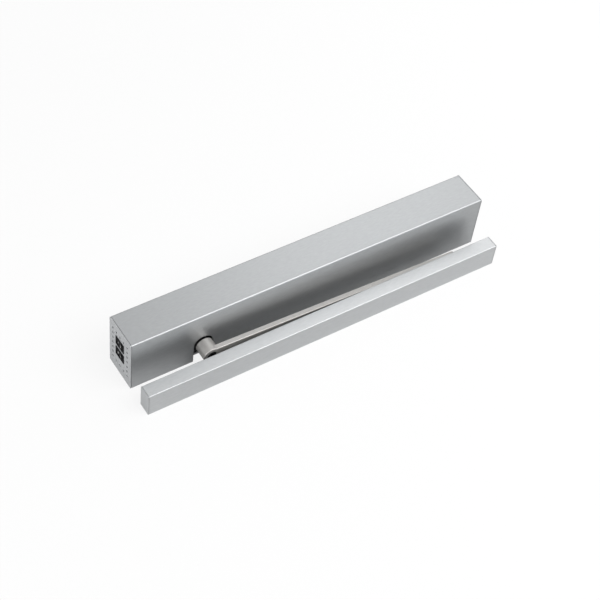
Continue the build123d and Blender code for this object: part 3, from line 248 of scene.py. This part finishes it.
wire = 0.005
turns, end_turns, end_pitch = 12, 1, 0.0058
seat_turns = 3  # turns that the seat shortens
steps = 32  # points to a turn
wire_roundness = 5
low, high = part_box("closing_spring")
coil_radius = (high.y - low.y - wire) / 2
coil_y, coil_z = (low.y + high.y) / 2, (low.z + high.z) / 2
open_pitch = (high.x - low.x - wire - 2 * end_turns * end_pitch) / (turns - 2 * end_turns)


def coil_point(turn):
    """Point of the wire's middle line after a number of turns from the rack's end."""
    closed = min(turn, end_turns) + max(turn - (turns - end_turns), 0)
    angle = 2 * math.pi * turn
    return (
        low.x + wire / 2 + closed * end_pitch + (turn - closed) * open_pitch,
        coil_y + coil_radius * math.cos(angle),
        coil_z + coil_radius * math.sin(angle),
    )


def wound_length(name, first_turn, last_turn):
    """Mesh of the wire between two turns, as the housing's piece in place of the spring's solid."""
    curve = bpy.data.curves.new(name, "CURVE")
    curve.dimensions = "3D"
    curve.bevel_depth = wire / 2
    curve.bevel_resolution = wire_roundness
    curve.use_fill_caps = True
    line = curve.splines.new("POLY")
    line.points.add((last_turn - first_turn) * steps)
    for i, point in enumerate(line.points):
        point.co = (*coil_point(first_turn + i / steps), 1)
    holder = bpy.data.objects.new(name + "_curve", curve)
    scene.collection.objects.link(holder)
    bpy.context.view_layer.update()
    piece = bpy.data.objects.new(name, bpy.data.meshes.new_from_object(holder))
    bpy.data.objects.remove(holder)
    scene.collection.objects.link(piece)
    piece.data.polygons.foreach_set("use_smooth", [True] * len(piece.data.polygons))
    piece.data.materials.clear()
    piece.data.materials.append(looks["spring_steel"])
    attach(piece, "housing")
    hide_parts("closing_spring")
    return piece


for name, first_turn, last_turn, joint, end_x in (
    ("wound_spring", 0, turns - seat_turns, "rack_slide", low.x),
    ("wound_spring_end", turns - seat_turns, turns, "seat_slide", high.x),
):
    piece = wound_length(name, first_turn, last_turn)
    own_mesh(piece)


# Position marks printed on the rockers

mark_sink, mark_height = 0.00005, 0.00012
stroke, mark_size = 0.0007, 0.0042
ring_count = 40
outward = 0.9  # a face with more than this much of its normal along -X belongs to a rocker's front


def rocker_faces(node):
    """Middle and outward direction of the two flats of a rocker's face, lower Y first."""
    flats = {}
    for face in nodes[node].data.polygons:
        if face.normal.x < -outward:
            key = round(face.normal.y, 2)
            middle, normal, area = flats.get(key, (Vector(), face.normal.copy(), 0.0))
            flats[key] = (middle + face.center * face.area, normal, area + face.area)
    largest = sorted(flats.values(), key=lambda flat: -flat[2])[:2]
    places = [(middle / area, normal) for middle, normal, area in largest]
    return sorted(places, key=lambda flat: flat[0].y)


def mark(name, body, place, normal, outline, hole=None):
    """Thin raised mark on a flat: outline and hole are rings of points in the flat's own plane."""
    shape = bmesh.new()
    rings = [outline] + ([hole] if hole else [])
    bottom, top = [
        [[shape.verts.new((height, u, v)) for u, v in ring] for ring in rings]
        for height in (-mark_sink, mark_height)
    ]
    for under, over in zip(bottom, top):
        for i in range(len(under)):
            j = (i + 1) % len(under)
            shape.faces.new((under[i], under[j], over[j], over[i]))
    for level in (bottom, top):
        if hole:
            for i in range(len(outline)):
                j = (i + 1) % len(outline)
                shape.faces.new((level[0][i], level[0][j], level[1][j], level[1][i]))
        else:
            shape.faces.new(level[0])
    bmesh.ops.recalc_face_normals(shape, faces=shape.faces)
    mesh = bpy.data.meshes.new(name)
    shape.to_mesh(mesh)
    shape.free()
    across = Vector((0, 0, 1)).cross(normal).normalized()
    turn = Matrix((normal, across, normal.cross(across))).transposed()
    mesh.transform(Matrix.Translation(place) @ turn.to_4x4())
    piece = bpy.data.objects.new(name, mesh)
    scene.collection.objects.link(piece)
    mesh.materials.append(looks["terminal_white"])
    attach(piece, body)


def ring_points(radius):
    angles = [2 * math.pi * i / ring_count for i in range(ring_count)]
    return [(radius * math.cos(angle), radius * math.sin(angle)) for angle in angles]


def bar_points(width, height, middle=0.0):
    corners = ((-1, -1), (1, -1), (1, 1), (-1, 1))
    return [(middle + side * width / 2, end * height / 2) for side, end in corners]


ring_outline, ring_hole = ring_points(mark_size / 2), ring_points(mark_size / 2 - stroke)
for switch, signs in (("power", ("ring", "bar")), ("program", ("bar", "bars"))):
    flats = rocker_faces(switch + "_switch_rocker")
    body = switch + "_rocker"
    for (place, normal), sign in zip(flats, signs):
        label = switch + "_mark_" + sign
        if sign == "ring":
            mark(label, body, place, normal, ring_outline, ring_hole)
        elif sign == "bar":
            mark(label, body, place, normal, bar_points(stroke, mark_size))
        else:
            for i, middle in enumerate((-stroke, stroke)):
                mark(label + str(i + 1), body, place, normal, bar_points(stroke, mark_size, middle))


# Lamps: place, the point they face, width and height, and power in watts

lamps = {
    "key_back_right": ((1.0, 1.0, 1.5), (0.2, 0, 0.05), (1.0, 1.0), 4.4),
    "front_high": ((1.3, -1.8, 2.9), (0.2, -0.05, 0.05), (3.2, 2.8), 108),
    "left_low": ((-2.2, -0.15, 0.6), (-0.3, -0.05, 0.02), (3.6, 1.0), 21),
    "right_low": ((2.2, 0.1, 0.6), (0.3, -0.05, 0.02), (2.4, 1.0), 10),
}
for name, (place, target, size, power) in lamps.items():
    data = bpy.data.lights.new(name, "AREA")
    data.shape = "RECTANGLE"
    data.size, data.size_y = size
    data.energy = power
    lamp = bpy.data.objects.new(name, data)
    lamp.location = place
    lamp.rotation_euler = (Vector(target) - Vector(place)).to_track_quat("-Z", "Y").to_euler()
    scene.collection.objects.link(lamp)


# World: white where it is seen, directly or in a gloss, and softer as a light

world_light, world_white = 0.3, 1.0
world = bpy.data.worlds.new("studio")
scene.world = world
world.use_nodes = True
tree = world.node_tree
background = tree.nodes["Background"]
background.inputs["Color"].default_value = (1, 1, 1, 1)
rays = tree.nodes.new("ShaderNodeLightPath")
direct = combine(tree, "MAXIMUM", rays.outputs["Is Camera Ray"], rays.outputs["Is Transmission Ray"])
seen = combine(tree, "MAXIMUM", direct, rays.outputs["Is Glossy Ray"])
level = remap(tree, seen, (0, 1), (world_light, world_white))
tree.links.new(level, background.inputs["Strength"])


# Floor: pale, shadowed near the object and plain white far away. Seen directly it is thin, so that a
# piece below it still shows. In a gloss it glows white towards the gap's left and right openings
# between housing and rail: painted light, standing in for the light that comes in there.

floor_size, floor_drop = 60, 0.0002
floor_colour, floor_roughness, floor_specular = (0.93, 0.93, 0.93, 1), 0.8, 0.1
floor_thinness = 0.85
shadowed_within, white_beyond = 0.7, 1.6
gap_middle = 0.055
gap_within, gap_beyond = 0.225, 0.4
# Shares of painted light, white in a gloss of the floor, in the gap's middle and at its left and right
# openings
gap_painted_light, end_painted_light = 0.06, 0.6

bpy.ops.mesh.primitive_plane_add(size=floor_size, location=(0, 0, -floor_drop))
floor = bpy.context.object
floor.name = "floor"
material, tree, shader = new_material("pale_floor")
shader.inputs["Base Color"].default_value = floor_colour
shader.inputs["Roughness"].default_value = floor_roughness
shader.inputs["Specular IOR Level"].default_value = floor_specular
place = tree.nodes.new("ShaderNodeTexCoord")
rays = tree.nodes.new("ShaderNodeLightPath")

direct = combine(tree, "MAXIMUM", rays.outputs["Is Camera Ray"], rays.outputs["Is Transmission Ray"])
clear = tree.nodes.new("ShaderNodeBsdfTransparent")
see_through = combine(tree, "MULTIPLY", direct, floor_thinness)
thin = blend(tree, see_through, shader.outputs["BSDF"], clear.outputs["BSDF"])

distance = tree.nodes.new("ShaderNodeVectorMath")
distance.operation = "LENGTH"
tree.links.new(place.outputs["Object"], distance.inputs[0])
far = remap(tree, distance.outputs["Value"], (shadowed_within, white_beyond), smooth=True)

# Painted light: in a gloss the floor glows white towards the gap's left and right openings, as if
# light came in there
along = tree.nodes.new("ShaderNodeSeparateXYZ")
tree.links.new(place.outputs["Object"], along.inputs["Vector"])
from_middle = combine(tree, "ABSOLUTE", combine(tree, "SUBTRACT", along.outputs["X"], gap_middle), 0)
ends = remap(tree, from_middle, (gap_within, gap_beyond), (gap_painted_light, end_painted_light), smooth=True)
painted_light_in_gloss = combine(tree, "MULTIPLY", rays.outputs["Is Glossy Ray"], ends)

white = tree.nodes.new("ShaderNodeEmission")
whitened = blend(tree, combine(tree, "MAXIMUM", painted_light_in_gloss, far), thin, white.outputs["Emission"])
tree.links.new(whitened, tree.nodes["Material Output"].inputs["Surface"])
floor.data.materials.append(material)


# Camera at the photograph's viewpoint, from the vanishing lines of the housing's edges

camera_data = bpy.data.cameras.new("camera")
camera_data.lens = 88.852
camera_data.sensor_width = 36.0
camera_data.sensor_fit = "HORIZONTAL"
camera_data.clip_end = 100
camera = bpy.data.objects.new("camera", camera_data)
scene.collection.objects.link(camera)
camera.matrix_world = Matrix((
    (0.8410225, 0.3581751, -0.4054526, -1.02229),
    (-0.5329747, 0.6771588, -0.5073399, -1.282716),
    (0.0928393, 0.6427803, 0.7604041, 1.913298),
    (0, 0, 0, 1),
))
scene.camera = camera
